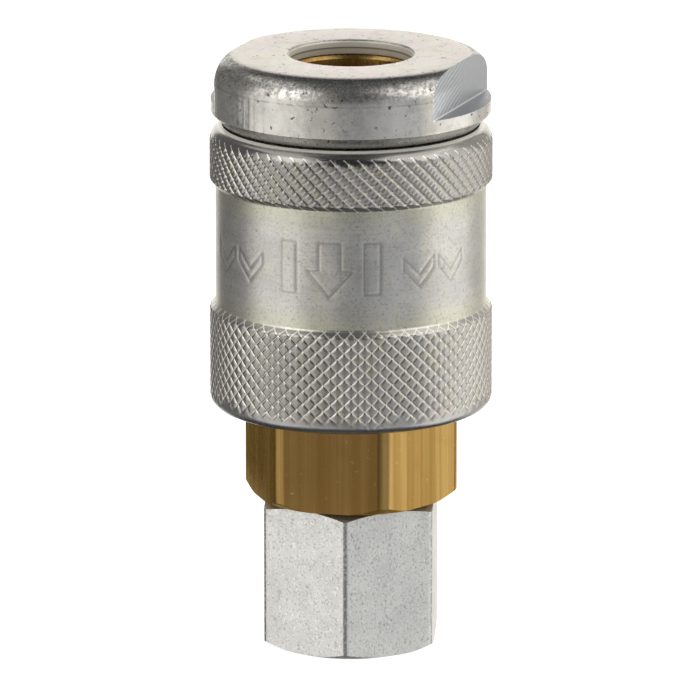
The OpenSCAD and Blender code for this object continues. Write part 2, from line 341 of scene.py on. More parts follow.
# ---------------- materials
class Look:
    """A material with one Principled shader. Lengths in its patterns are in millimetres."""

    def __init__(self, name, color, metallic=1.0, roughness=0.3, **sockets):
        self.material = bpy.data.materials.new(name)
        self.material.use_nodes = True
        tree = self.material.node_tree
        self.nodes, self.links = tree.nodes, tree.links
        self.shader = self.nodes["Principled BSDF"]
        self.feed(self.shader, "Base Color", (*color, 1))
        self.feed(self.shader, "Metallic", metallic)
        self.feed(self.shader, "Roughness", roughness)
        for socket, value in sockets.items():
            self.feed(self.shader, socket.replace("_", " "), value)
        metres = self.nodes.new("ShaderNodeTexCoord").outputs["Object"]
        self.where = self.vector("MULTIPLY", metres, (1 / MM, 1 / MM, 1 / MM))

    def feed(self, node, socket, value):
        """Links the value if it is another node's output, and sets it if it is a plain value."""
        if isinstance(value, bpy.types.NodeSocket):
            self.links.new(value, node.inputs[socket])
        else:
            node.inputs[socket].default_value = value

    def math(self, operation, a, b=0.0):
        node = self.nodes.new("ShaderNodeMath")
        node.operation = operation
        self.feed(node, 0, a)
        self.feed(node, 1, b)
        return node.outputs[0]

    def times(self, a, b):
        return self.math("MULTIPLY", a, b)

    def plus(self, a, b):
        return self.math("ADD", a, b)

    def minus(self, a, b):
        return self.math("SUBTRACT", a, b)

    def most(self, a, b):
        return self.math("MAXIMUM", a, b)

    def above(self, a, b):
        return self.math("GREATER_THAN", a, b)

    def size(self, a):
        return self.math("ABSOLUTE", a)

    def toward(self, way):
        return self.vector("DOT_PRODUCT", self.where, way)

    def vector(self, operation, a, b=(0, 0, 0)):
        node = self.nodes.new("ShaderNodeVectorMath")
        node.operation = operation
        self.feed(node, 0, a)
        self.feed(node, 1, b)
        return node.outputs["Value" if operation in ("LENGTH", "DOT_PRODUCT") else "Vector"]

    def part(self, axis):
        """One coordinate, in millimetres."""
        node = self.nodes.new("ShaderNodeSeparateXYZ")
        self.feed(node, 0, self.where)
        return node.outputs[axis]

    def radius(self):
        return self.vector("LENGTH", self.vector("MULTIPLY", self.where, (1, 1, 0)))

    def noise(self, vector=None, stretch=(1, 1, 1), scale=1.0, detail=3.0, rough=0.55):
        node = self.nodes.new("ShaderNodeTexNoise")
        self.feed(node, "Vector", self.vector("MULTIPLY", vector or self.where, stretch))
        self.feed(node, "Scale", scale)
        self.feed(node, "Detail", detail)
        self.feed(node, "Roughness", rough)
        return node.outputs["Fac"]

    def turned(self, scale, detail=2.0):
        """Fine rings left by a lathe: the pattern changes along the axis and the radius only."""
        node = self.nodes.new("ShaderNodeCombineXYZ")
        self.feed(node, "X", self.radius())
        self.feed(node, "Z", self.part("Z"))
        return self.noise(node.outputs[0], scale=scale, detail=detail)

    def drawn(self, scale, detail=2.0):
        """Lines left by drawing a bar: the pattern hardly changes along the axis."""
        return self.noise(stretch=(1, 1, 0.012), scale=scale, detail=detail)

    def ramp(self, value, low, high, start=0.0, end=1.0):
        """Start at low and end at high, with a smooth step between."""
        node = self.nodes.new("ShaderNodeMapRange")
        node.interpolation_type = "SMOOTHSTEP"
        for socket, number in (("Value", value), ("From Min", low), ("From Max", high),
                               ("To Min", start), ("To Max", end)):
            self.feed(node, socket, number)
        return node.outputs["Result"]

    def mix(self, share, a, b):
        node = self.nodes.new("ShaderNodeMix")
        node.data_type = "RGBA"
        self.feed(node, "Factor", share)
        for socket, value in ((6, a), (7, b)):
            linked = isinstance(value, bpy.types.NodeSocket)
            self.feed(node, socket, value if linked else (*value, 1))
        return node.outputs[2]

    def bump(self, height, strength, distance_mm):
        node = self.nodes.new("ShaderNodeBump")
        self.feed(node, "Height", height)
        self.feed(node, "Strength", strength)
        self.feed(node, "Distance", distance_mm * MM)
        return node.outputs[0]

    def attribute(self, name):
        node = self.nodes.new("ShaderNodeAttribute")
        node.attribute_name = name
        return node.outputs["Fac"]

    def finish(self, color, roughness, normal):
        for socket, value in (("Base Color", color), ("Roughness", roughness), ("Normal", normal)):
            self.feed(self.shader, socket, value)
        return self.material


def cap_look():
    """Zinc-plated turned steel, mottled and pitted, with milled flats that are bluer and ribbed."""
    look = Look("cap_steel", (0.7, 0.68, 0.65), roughness=0.4)
    height = look.part("Z")
    rings = look.turned(4)
    streaks = look.drawn(1.6, 3)
    cloud = look.noise(scale=0.35, detail=4)
    mottle = look.noise(scale=1.9, detail=5, rough=0.7)
    grit = look.noise(scale=4.2, detail=4, rough=0.7)
    pits = look.ramp(look.noise(scale=1.7, detail=4, rough=0.6), 0.63, 0.67)
    stain = look.ramp(look.noise(scale=0.5, detail=6, rough=0.75), 0.5, 0.62)
    on_top = look.ramp(height, TOP - 0.12, TOP - 0.02)
    off_top = look.minus(1.0, on_top)
    inside = look.ramp(look.radius(), MOUTH_R + 0.16, MOUTH_R + 0.06)

    # The milled flats, with slanting ribs, and a painted highlight: a bright line where they meet
    # the ledge
    across = (math.cos(FLATS_ANGLE), math.sin(FLATS_ANGLE), 0)
    onward = (-math.sin(FLATS_ANGLE), math.cos(FLATS_ANGLE), 0)
    slant, rib_pitch = math.radians(69), 0.5
    along = (onward[0] * math.cos(slant), onward[1] * math.cos(slant), -math.sin(slant))
    reach = look.size(look.toward(across))
    milled = look.times(look.above(reach, FLATS_R - 0.02), look.above(height, LEDGE_Z - 0.04))
    ribs = look.plus(look.times(look.toward(along), TAU / rib_pitch), look.times(cloud, 9))
    ribs = look.times(look.math("SINE", ribs), look.ramp(look.toward(onward), 1.5, -1.5, 0.12, 1))
    ribs = look.times(ribs, look.ramp(height, LEDGE_Z + 0.05, LEDGE_Z + 0.15))
    # Painted highlight: the crease between the flats and the ledge is mixed towards near-white.
    painted_crease_highlight = look.times(look.ramp(look.size(look.minus(height, LEDGE_Z)), 0.16, 0.05),
                        look.ramp(reach, FLATS_R + 0.16, FLATS_R + 0.05))
    painted_crease_highlight = look.times(painted_crease_highlight, look.above(reach, FLATS_R - 0.03))

    # The fillet, with dirt on it, a dark line of painted shade along its foot, and a darker collar
    # below the top face
    curved = look.times(look.ramp(height, TOP - 2.7, TOP - 1.2), off_top)
    dirt = look.times(curved, look.ramp(look.plus(mottle, grit), 0.94, 1.08, 0, 0.75))
    # Painted shade: a thin dark line where the fillet meets the side, broken up by mottle.
    foot = look.size(look.minus(height, TOP - CAP_FILLET))
    foot = look.times(look.ramp(foot, 0.14, 0.03), look.ramp(mottle, 0.4, 0.6, 0.1, 0.5))
    collar = look.times(look.ramp(height, TOP - 1.5, TOP - 0.6), off_top)
    collar = look.times(collar, look.ramp(grit, 0.35, 0.65, 0.25, 0.5))
    # Painted shade: the chamfer under the cap is mixed towards near-black, darker further down.
    under = look.ramp(height, TOP - 5.75, TOP - 6.9)

    metal = look.mix(look.ramp(cloud, 0.3, 0.7), (0.6, 0.585, 0.56), (0.74, 0.72, 0.69))
    tints = look.ramp(look.noise(scale=0.2, detail=2), 0.42, 0.58)
    pearl = look.mix(tints, (0.87, 0.79, 0.8), (0.84, 0.82, 0.76))
    metal = look.mix(look.times(on_top, 0.85), metal, pearl)
    metal = look.mix(look.times(under, 0.75), metal, (0.13, 0.14, 0.15))
    metal = look.mix(look.times(stain, 0.25), metal, (0.42, 0.39, 0.3))
    metal = look.mix(look.most(dirt, foot), metal, (0.2, 0.2, 0.2))
    metal = look.mix(collar, metal, (0.2, 0.205, 0.205))
    metal = look.mix(look.times(pits, 0.9), metal, (0.09, 0.08, 0.07))
    blue = look.mix(look.ramp(ribs, -1, 1), (0.43, 0.45, 0.475), (0.6, 0.62, 0.65))
    color = look.mix(milled, metal, blue)
    color = look.mix(look.times(painted_crease_highlight, 0.8), color, (0.95, 0.95, 0.95))

    # The mouth's wall: a pale band, a dark line of painted shade for a small groove that the mesh
    # lacks, and a yellower band below it
    line_z = TOP - 0.8
    line = look.ramp(look.size(look.minus(height, line_z)), 0.14, 0.04)
    wall = look.mix(line, (0.86, 0.82, 0.74), (0.3, 0.27, 0.22))
    wall = look.mix(look.ramp(height, line_z, TOP - 0.9, 0, 0.35), wall, (0.6, 0.52, 0.36))
    color = look.mix(inside, color, wall)

    cleaned = look.most(milled, inside)
    rough = look.ramp(mottle, 0.35, 0.65, look.plus(0.22, look.times(on_top, 0.08)), 0.38)
    rough = look.plus(rough, look.times(curved, 0.04))
    rough = look.plus(rough, look.times(cleaned, 0.16))
    surface = look.plus(look.times(rings, 0.5), look.times(streaks, 0.8))
    surface = look.minus(surface, look.times(pits, 0.8))
    coarse = look.minus(look.plus(0.4, look.times(curved, 0.25)), look.times(on_top, 0.25))
    surface = look.plus(surface, look.times(look.plus(mottle, grit), coarse))
    left = look.times(look.ramp(look.part("X"), -4, -8), look.ramp(height, TOP - 2.2, TOP - 3))
    comb = look.times(left, look.ramp(look.drawn(1.7, 0), 0.35, 0.65, -1, 1))
    surface = look.plus(surface, look.times(comb, 0.9))
    surface = look.times(surface, look.minus(1.0, cleaned))
    relief = look.plus(surface, look.times(milled, look.times(ribs, 0.8)))
    dull = look.most(look.times(inside, 0.65), look.times(on_top, 0.4))
    look.feed(look.shader, "Metallic", look.minus(1.0, dull))
    return look.finish(color, rough, look.bump(relief, 0.3, 0.03))


def sleeve_look(plain_low, plain_high):
    """Zinc-plated steel: tinted knurls with painted highlights as pale lines in their grooves, and
    a brushed band.
    """
    look = Look("sleeve_steel", (0.66, 0.64, 0.6), roughness=0.38)
    groove = look.attribute("groove")
    mark = look.attribute("mark")
    rings = look.turned(5, 3)
    brushed = look.noise(stretch=(0.12, 0.12, 5), scale=1.0, detail=4)
    cloud = look.noise(scale=0.3, detail=4)
    tint = look.noise(stretch=(1, 1, 0.6), scale=0.9, detail=2)
    dust = look.ramp(look.noise(scale=0.35, detail=2), 0.4, 0.62, 0.03, 0)
    specks = look.ramp(look.minus(look.noise(scale=2.4, detail=5, rough=0.65), dust), 0.6, 0.66)
    height = look.part("Z")
    edge = look.plus(look.ramp(height, plain_low + 2.6, plain_low + 0.3),
                     look.ramp(height, plain_high - 2.6, plain_high - 0.3))
    band = look.times(look.ramp(height, plain_low - 0.2, plain_low),
                     look.ramp(height, plain_high + 0.2, plain_high))
    metal = look.mix(look.ramp(cloud, 0.3, 0.7), (0.57, 0.565, 0.54), (0.7, 0.69, 0.65))
    vivid = look.minus(1.0, look.times(band, 0.7))
    for end, tinge in ((0.7, (0.72, 0.64, 0.44)), (0.3, (0.66, 0.54, 0.58))):
        metal = look.mix(look.ramp(tint, 0.5, end, 0, look.times(vivid, 0.65)), metal, tinge)
    metal = look.mix(look.times(look.times(edge, band), 0.55), metal, (0.68, 0.67, 0.5))
    streaks = look.times(band, look.ramp(brushed, 0.35, 0.65, 0.14, 0))
    metal = look.mix(streaks, metal, (0.36, 0.36, 0.37))
    metal = look.mix(look.times(specks, 0.5), metal, (0.16, 0.14, 0.12))
    metal = look.mix(look.ramp(mark, 0.45, 1, 0, 0.5), metal, (0.24, 0.23, 0.21))
    off_band = look.minus(1.0, band)
    metal = look.mix(look.times(off_band, 0.6), metal, (0.37, 0.355, 0.34))
    # Painted shade: a darker patch on the knurls towards the front left.
    painted_shade_patch = look.times(look.ramp(look.toward(heading(-32)), 11.4, 13.6), off_band)
    metal = look.mix(look.times(painted_shade_patch, 0.35), metal, (0.16, 0.155, 0.15))
    shade = look.ramp(height, SLEEVE_TOP - 1.8, SLEEVE_TOP - 1.0)
    metal = look.mix(look.times(shade, 0.5), metal, (0.24, 0.245, 0.245))
    hem = look.ramp(height, SLEEVE_LOW + 1.3, SLEEVE_LOW + 0.7, 0, 0.6)
    metal = look.mix(hem, metal, (0.5, 0.525, 0.56))
    # Painted highlights: pale cream, less metallic lines in the groove bottoms and along the top
    # lip.
    lip = look.ramp(height, SLEEVE_TOP - 0.27, SLEEVE_TOP - 0.13)
    line = look.most(look.ramp(groove, 0.5, 0.9), lip)
    color = look.mix(look.times(line, 0.9), metal, (0.97, 0.95, 0.86))
    dull = look.plus(look.times(line, 0.5), look.times(lip, 0.5))
    look.feed(look.shader, "Metallic", look.minus(1.0, dull))
    rough = look.plus(look.ramp(brushed, 0.3, 0.7, 0.27, 0.33), look.times(band, 0.05))
    rough = look.minus(rough, look.times(shade, 0.1))
    grain = look.noise(scale=4, detail=3, rough=0.6)
    film = look.times(band, look.ramp(grain, 0.52, 0.32, 0, 0.5))
    color = look.mix(film, color, (0.36, 0.35, 0.37))
    relief = look.plus(look.times(rings, 0.7), look.times(grain, 0.5))
    relief = look.plus(relief, look.times(look.times(brushed, band), 0.4))
    normal = look.bump(look.minus(relief, look.times(specks, 0.8)), 0.22, 0.02)
    return look.finish(color, rough, normal)


def brass_look():
    """Drawn brass with fine lines along the bar, small nicks, and painted shade darkening one
    facet.
    """
    look = Look("brass", (0.4, 0.25, 0.08), roughness=0.32, Specular_Tint=(0.75, 0.6, 0.4, 1))
    lines = look.drawn(3.0, 4)
    wide = look.drawn(0.6, 2)
    cloud = look.noise(scale=0.4, detail=4)
    nicks = look.ramp(look.noise(scale=1.6, detail=5, rough=0.7), 0.64, 0.7)
    metal = look.mix(look.ramp(wide, 0.4, 0.62), (0.345, 0.21, 0.064), (0.47, 0.31, 0.11))
    metal = look.mix(look.ramp(lines, 0.45, 0.62, 0, 0.3), metal, (0.27, 0.155, 0.042))
    metal = look.mix(look.ramp(cloud, 0.55, 0.75, 0, 0.4), metal, (0.35, 0.185, 0.055))
    # Painted shade: the facet facing azimuth -12.3 is darkened.
    painted_shade_facet = look.ramp(look.toward(heading(-12.3)), 9.25, 9.48, 0, 0.6)
    metal = look.mix(painted_shade_facet, metal, (0.2, 0.108, 0.032))
    color = look.mix(look.times(nicks, 0.4), metal, (0.85, 0.68, 0.36))
    rough = look.plus(look.times(cloud, 0.16), look.times(lines, 0.4))
    height = look.minus(lines, look.times(nicks, 0.6))
    return look.finish(color, rough, look.bump(height, 0.2, 0.02))


def connector_look(corner_r):
    """Zinc-plated steel with a fine sandy grain, painted glints as bright white sparkles, small
    dents and worn corners.
    """
    look = Look("connector_steel", (0.72, 0.72, 0.71), metallic=0.9, roughness=0.5)
    sand = look.noise(scale=3.7, detail=3, rough=0.7)
    fine = look.noise(scale=7, detail=2)
    cloud = look.noise(scale=0.35, detail=3)
    # Painted glints: small spots mixed towards white and made smoother.
    painted_glint = look.ramp(look.noise(scale=4.2, detail=2), 0.59, 0.67)
    dents = look.ramp(look.noise(scale=0.9, detail=4, rough=0.6), 0.64, 0.7)
    metal = look.mix(look.ramp(cloud, 0.35, 0.65), (0.76, 0.76, 0.75), (0.84, 0.84, 0.82))
    metal = look.mix(look.ramp(sand, 0.5, 0.3, 0, 0.85), metal, (0.42, 0.42, 0.41))
    metal = look.mix(look.times(dents, 0.35), metal, (0.4, 0.4, 0.4))
    metal = look.mix(look.times(painted_glint, 0.7), metal, (1, 1, 1))
    corner = look.ramp(look.radius(), corner_r - 0.05, corner_r - 0.01)
    worn = look.times(corner, look.ramp(look.noise(scale=2.6, detail=3), 0.38, 0.5, 0.4, 1))
    color = look.mix(worn, metal, (0.4, 0.4, 0.4))
    rough = look.minus(look.ramp(sand, 0.3, 0.7, 0.4, 0.52), look.times(painted_glint, 0.15))
    rough = look.minus(rough, look.times(worn, 0.26))
    height = look.plus(sand, look.times(fine, 0.4))
    height = look.minus(height, look.times(dents, 0.5))
    return look.finish(color, rough, look.bump(height, 0.8, 0.04))


def wire_look():
    """Bright drawn spring wire with fine scratches."""
    look = Look("spring_steel", (0.6, 0.6, 0.61), roughness=0.25)
    scratches = look.noise(scale=5, detail=4)
    cloud = look.noise(scale=0.8, detail=3)
    color = look.mix(cloud, (0.5, 0.5, 0.51), (0.68, 0.68, 0.69))
    rough = look.ramp(scratches, 0.3, 0.7, 0.18, 0.36)
    return look.finish(color, rough, look.bump(scratches, 0.2, 0.01))


def washer_look():
    """Stamped washer steel, satin, with tumbling marks."""
    look = Look("washer_steel", (0.58, 0.58, 0.59), roughness=0.38)
    marks = look.noise(scale=3.5, detail=5, rough=0.65)
    color = look.mix(marks, (0.48, 0.48, 0.49), (0.66, 0.66, 0.67))
    return look.finish(color, look.ramp(marks, 0.3, 0.7, 0.28, 0.46), look.bump(marks, 0.25, 0.015))


def ball_look():
    """Polished hardened steel with faint handling marks."""
    look = Look("ball_steel", (0.75, 0.75, 0.77), roughness=0.1)
    marks = look.noise(scale=2.5, detail=4)
    color = look.mix(marks, (0.7, 0.7, 0.72), (0.8, 0.8, 0.82))
    return look.finish(color, look.ramp(marks, 0.4, 0.7, 0.07, 0.16), look.bump(marks, 0.05, 0.005))


def rubber_look():
    """Matt black nitrile rubber with a little bloom."""
    look = Look("seal_rubber", (0.03, 0.03, 0.032), metallic=0.0, roughness=0.55)
    bloom = look.noise(scale=1.6, detail=5, rough=0.6)
    color = look.mix(look.ramp(bloom, 0.45, 0.75), (0.022, 0.022, 0.024), (0.06, 0.06, 0.062))
    return look.finish(color, look.ramp(bloom, 0.3, 0.7, 0.45, 0.65), look.bump(bloom, 0.2, 0.02))


# ---------------- hexagon helpers
def hex_angles(turn, corner_deg):
    """Angles for a hexagon's columns: each turned corner with its softened edges, then a flat."""
    edge, soft, per_flat = math.radians(corner_deg), math.radians(0.5), 14
    angles = []
    for sector in range(6):
        corner = turn + sector * TAU / 6
        angles += [corner - edge - soft, corner - edge + soft, corner - edge / 3, corner + edge / 3]
        angles += [corner + edge - soft, corner + edge + soft, corner + edge + 3 * soft]
        start, end = corner + edge + 3 * soft, corner + TAU / 6 - edge - 3 * soft
        angles += [start + (end - start) * k / per_flat for k in range(1, per_flat + 1)]
    return np.array(angles)


def hex_turned(name, outline, turn, across_flats, corner_r, chamfers):
    """A turned outline with a hexagon cut on it, whose corners point along turn.

    Each chamfer is (z at the end, radius there, z where the hexagon is full, radius there).
    """
    corner_deg = 30 - math.degrees(math.acos(across_flats / 2 / corner_r))
    angles = hex_angles(turn, corner_deg)
    flat = across_flats / 2 / np.cos((angles - turn) % (TAU / 6) - TAU / 12)
    low, high = min(c[0] for c in chamfers), max(c[0] for c in chamfers)

    def shape(r, z):
        on_hex = (z > low - 1e-6) & (z < high + 1e-6) & (r > across_flats / 2 - 0.3)
        new_r = np.where(on_hex, np.minimum(r, flat), r)
        for end_z, end_r, full_z, full_r in chamfers:
            on_cone = on_hex & (np.abs(z - full_z) < 1e-6)
            share = np.clip((new_r - end_r) / (full_r - end_r), 0, 1)
            z = np.where(on_cone, end_z + (full_z - end_z) * share, z)
        return new_r, z

    return lathe(name, outline, angles, shape, 30)


# ---------------- pieces
def block(low, high):
    """A plain box, for cutting."""
    (x0, y0, z0), (x1, y1, z1) = low, high
    points = [(x, y, z) for x in (x0, x1) for y in (y0, y1) for z in (z0, z1)]
    faces = [(0, 1, 3, 2), (4, 6, 7, 5), (0, 4, 5, 1), (2, 3, 7, 6), (0, 2, 6, 4), (1, 5, 7, 3)]
    return add_mesh("block", points, faces)


def rod(start, end, radius):
    """A plain round rod between two points, for cutting."""
    start, end, sides = Vector(start), Vector(end), 32
    turn = (end - start).to_track_quat("Z", "X").to_matrix()
    ring = [Vector(spoke(radius, TAU * k / sides, 0)) for k in range(sides)]
    points = [start + turn @ p for p in ring] + [end + turn @ p for p in ring]
    faces = [(k, (k + 1) % sides, sides + (k + 1) % sides, sides + k) for k in range(sides)]
    faces += [tuple(range(sides))[::-1], tuple(range(sides, 2 * sides))]
    return add_mesh("rod", points, faces)


def joined(things):
    """One object from several."""
    with bpy.context.temp_override(active_object=things[0], selected_editable_objects=things,
                                   selected_objects=things, object=things[0]):
        bpy.ops.object.join()
    return things[0]


def make_nose_cap():
    """The cap, with its neck inside the sleeve and two flats milled on its sides.

    Known fault: the neck's foot is rounded towards the underside and not the bore, so it slopes
    and ends 1 mm short of the CAD's. The sleeve hides it.
    """
    low, neck_r, neck_top, neck_bore_r = span("nose_cap")[0], 12.57, TOP - 6.98, 7.95
    top_r, lead = CAP_R - CAP_FILLET, 0.25
    curve = [(top_r + CAP_FILLET * math.cos(t), TOP - CAP_FILLET + CAP_FILLET * math.sin(t))
             for t in np.linspace(0, math.pi / 2, 17)]
    foot = rounded([(neck_r, low), (neck_r, neck_top), (CAP_R, CAP_UNDER_Z)], [0.15, 0.12, 0])
    under = rounded([(neck_r, neck_top), (CAP_R, CAP_UNDER_Z), (CAP_R, TOP - CAP_FILLET)],
                    [0, 0.25, 0])
    inside = rounded([(top_r, TOP), (MOUTH_R + lead, TOP), (MOUTH_R, TOP - lead),
                      (MOUTH_R, BODY_TOP), (neck_bore_r, BODY_TOP), (neck_bore_r, low)],
                     [0, 0.08, 0.05, 0.1, 0, 0.15])
    cap = lathe("nose_cap_shell", foot[:-1] + under[1:-1] + curve + inside[1:], 320)
    far = 20
    boxes = [block((x0, -far, LEDGE_Z), (x1, far, TOP + 5))
             for x0, x1 in ((FLATS_R, far), (-far, -FLATS_R))]
    for box in boxes:
        box.data.transform(Matrix.Rotation(FLATS_ANGLE, 4, "Z"))
    cut(cap, boxes)
    soft_edges(cap, 0.07)
    place(cap, "nose_cap", "housing", cap_look())


def make_valve_body(brass):
    """The brass hexagon and the barrel above it, with holes for the balls."""
    low, hex_top = BODY_LOW, span("sleeve_spring_washer")[0]
    end_r, lead, top_lead, rim = 9.7, 0.7, 0.3, 0.15
    turn, flats = math.radians(47.7), 19
    top_r = BODY_CORNER_R - top_lead
    spigot_bore_r, chamber_r, throat_r, mouth_lead = 6.95, 6, 4.35, 0.4
    chamber_low, seat_z, groove_low, groove_high, lock_low = 22.5, 34, 36.6, 38.4, 39
    outline = [(spigot_bore_r, low), (end_r, low), (BODY_CORNER_R, low + lead),
               (BODY_CORNER_R, hex_top - top_lead), (top_r, hex_top), (BARREL_R, hex_top),
               (BARREL_R, BODY_TOP - rim), (BARREL_R - rim, BODY_TOP),
               (BORE_R + mouth_lead, BODY_TOP), (BORE_R, BODY_TOP - mouth_lead), (BORE_R, 46.3),
               (LOCK_R, 46.1), (LOCK_R, lock_low), (throat_r, lock_low), (throat_r, groove_high),
               (chamber_r, groove_high), (chamber_r, groove_low), (throat_r, groove_low),
               (throat_r, seat_z), (chamber_r, seat_z), (chamber_r, chamber_low),
               (spigot_bore_r, chamber_low)]
    chamfers = [(low, end_r, low + lead, BODY_CORNER_R),
                (hex_top, top_r, hex_top - top_lead, BODY_CORNER_R)]
    body = hex_turned("brass_body", spaced(outline, 2.5), turn, flats, BODY_CORNER_R, chamfers)
    holes = [rod(spoke(4, a, BALL_Z), spoke(9, a, BALL_Z), BALL_R)
             for a in np.arange(BALL_COUNT) * TAU / BALL_COUNT]
    cut(body, [joined(holes)])
    soft_edges(body, 0.08)
    place(body, "valve_body", "housing", brass)


def make_connector():
    """The lower hexagon, with a helical thread in its port."""
    end_r, lead, top_lead = 8.375, 0.65, 0.5
    turn, flats = math.radians(26.4), 16.75
    port_r, port_depth, mouth, bore_r, spigot_r, spigot_lead = 5.7225, 12, 0.8, 4.9, 6.9, 0.3
    pitch, thread_depth, per_turn, thread_low, runout, flank = 1.337, 0.7, 10, 0.75, 0.8, 0.42
    thread_high = port_depth - 0.3
    count = int((port_depth - 1) / (pitch / per_turn))
    thread = [(port_r, thread_high - (port_depth - 1.1) * k / count) for k in range(count + 1)]
    outline = [(bore_r, SPIGOT_TOP), (bore_r, port_depth), (port_r, port_depth)] + thread
    outline += [(port_r + mouth, 0), (end_r, 0), (CONN_CORNER_R, lead),
                (CONN_CORNER_R, CONN_TOP - top_lead), (end_r, CONN_TOP), (spigot_r, CONN_TOP),
                (spigot_r, SPIGOT_TOP - spigot_lead), (spigot_r - spigot_lead, SPIGOT_TOP)]
    chamfers = [(0, end_r, lead, CONN_CORNER_R),
                (CONN_TOP, end_r, CONN_TOP - top_lead, CONN_CORNER_R)]
    piece = hex_turned("steel_connector", outline[::-1], turn, flats, CONN_CORNER_R, chamfers)
    for vertex in piece.data.vertices:
        x, y, z = vertex.co / MM
        if thread_low < z < thread_high + 0.01 and abs(math.hypot(x, y) - port_r) < 0.02:
            phase = (z / pitch - math.atan2(y, x) / TAU) % 1
            fade = min(1, (thread_high - z) / runout)
            groove = thread_depth * fade * max(0, 1 - abs(phase - 0.5) / flank)
            vertex.co.x *= 1 + groove / port_r
            vertex.co.y *= 1 + groove / port_r
    soften(piece, 50)
    place(piece, "connector", "housing", connector_look(CONN_CORNER_R))


def make_ring(name, node, body, material, inner_r, edge):
    """A washer or seal: a flat ring with rounded edges, filling its CAD node's box."""
    (low, high), outer = span(node), outer_r(node)
    outline = rounded([(inner_r, low), (outer, low), (outer, high), (inner_r, high)], edge)
    place(lathe(name, outline, 160), node, body, material)


def make_seal_ring(rubber):
    """The O-ring that grips a plug's nose."""
    low, high = span("plug_seal")
    section = (high - low) / 2
    middle_r, middle_z = outer_r("plug_seal") - section, low + section
    outline = [(middle_r + section * math.cos(t), middle_z + section * math.sin(t))
               for t in np.arange(24) * TAU / 24]
    place(lathe("o_ring", outline, 128), "plug_seal", "housing", rubber)


def make_spring(name, node, material, wire, coils):
    """A round-wire compression spring with closed ends ground flat."""
    low, high = span(node)
    middle_r = outer_r(node) - wire / 2
    per_turn, sides, ground, end_coil = 36, 14, 0.35, 0.8
    count = int(coils * per_turn)
    bottom, top = low + wire * ground, high - wire * ground
    slope = (top - bottom) / (coils * TAU * middle_r)
    points = []
    for i in range(count + 1):
        turns = i / per_turn
        rise = np.clip((turns - end_coil) / (coils - 2 * end_coil), 0, 1)
        closed = (min(turns, end_coil) + max(0, turns - coils + end_coil)) / end_coil
        middle_z = bottom + wire * 0.5 * closed + (top - bottom - wire) * rise
        for k in range(sides):
            t = k * TAU / sides
            out, up = wire / 2 * math.cos(t), wire / 2 * math.sin(t)
            angle = turns * TAU - up * slope / middle_r
            points.append(spoke(middle_r + out, angle, np.clip(middle_z + up, low, high)))
    faces = []
    for here in range(0, count * sides, sides):
        for k in range(sides):
            n = (k + 1) % sides
            faces.append((here + k, here + n, here + sides + n, here + sides + k))
    faces += [tuple(range(sides))[::-1], tuple(count * sides + k for k in range(sides))]
    return place(add_mesh(name, points, faces, 50), node, "housing", material)


def make_plate(material):
    """The valve spring's plate: a hub for the stem and six flow holes."""
    node = "valve_spring_plate"
    (low, high), outer = span(node), outer_r(node)
    plate_top, stem_hole_r, hub_r, flow_r, flow_hole_r = low + 1, 1.7, 2.35, 4.65, 1.1
    corners = [(stem_hole_r, low), (outer, low), (outer, plate_top), (hub_r, plate_top),
               (hub_r, high), (stem_hole_r, high)]
    plate = lathe("flow_plate", rounded(corners, 0.1, 3), 128)
    holes = [rod(spoke(flow_r, a, low - 1), spoke(flow_r, a, plate_top + 1), flow_hole_r)
             for a in np.arange(6) * TAU / 6]
    cut(plate, [joined(holes)])
    soft_edges(plate, 0.06)
    place(plate, node, "housing", material)


def make_valve(brass):
    """The poppet: a stem, a flange, and a crown with four windows that the air passes through."""
    low, high = span("valve")
    stem_r, guide_r, flange_r, crown_r, crown_bore_r = 1.6, 2.35, 5.2, 3.9, 2.9
    flange_low, flange_top = SEAT_Z - 2, SEAT_Z - 0.8
    corners = [(0, low), (stem_r, low), (stem_r, flange_low - 1), (guide_r, flange_low - 1),
               (guide_r, flange_low), (flange_r, flange_low), (flange_r, flange_top),
               (crown_r, flange_top), (crown_r, high), (crown_bore_r, high),
               (crown_bore_r, flange_top), (0, flange_top)]
    valve = lathe("poppet_valve", rounded(corners, 0.12, 3), 128)
    far, half, window_top = 6, 1.3, SEAT_Z + 1.5
    bars = [block((-x, -y, SEAT_Z), (x, y, window_top))
            for x, y in ((far, half), (half, far))]
    cut(valve, bars)
    soft_edges(valve, 0.05)
    place(valve, "valve", "poppet", brass)


# ---------------- the sleeve
def mark_lines():
    """A pull-down arrow, chevrons and bars, each as (azimuth, closed outline around and up)."""
    arrow = [(-1.1, 2.6), (1.1, 2.6), (1.1, -0.2), (2.3, -0.2), (0, -2.8), (-2.3, -0.2),
             (-1.1, -0.2)]
    bar = [(-0.8, 2.6), (0.8, 2.6), (0.8, -2.6), (-0.8, -2.6)]
    chevron = [(-1.7, 0.9), (0, -0.9), (1.7, 0.9), (1.7, -0.3), (0, -2.1), (-1.7, -0.3)]
    return [(-9, arrow), (-27, bar), (9, bar), (-66, chevron), (-48, chevron), (30, chevron),
            (47, chevron), (150, bar), (180, arrow), (210, bar)]


def mark_depth(angle, z, middle_z):
    """How deep the engraved outlines are at each point, from 0 to 1."""
    depth, far, fade, reach = np.zeros_like(z), 9.0, 0.14, 5
    for azimuth, points in mark_lines():
        off = (angle - FRONT - math.radians(azimuth) + math.pi) % TAU - math.pi
        across, up = off * PLAIN_R, z - middle_z
        near, nearest = np.abs(across) < reach, np.full(z.shape, far)
        for a, b in zip(points, points[1:] + points[:1]):
            along = np.array(b) - np.array(a)
            share = ((across - a[0]) * along[0] + (up - a[1]) * along[1]) / (along @ along)
            share = np.clip(share, 0, 1)
            away = np.hypot(across - a[0] - share * along[0], up - a[1] - share * along[1])
            nearest = np.minimum(nearest, away)
        depth = np.maximum(depth, np.where(near, np.clip(1.5 - nearest / fade, 0, 1), 0))
    return depth


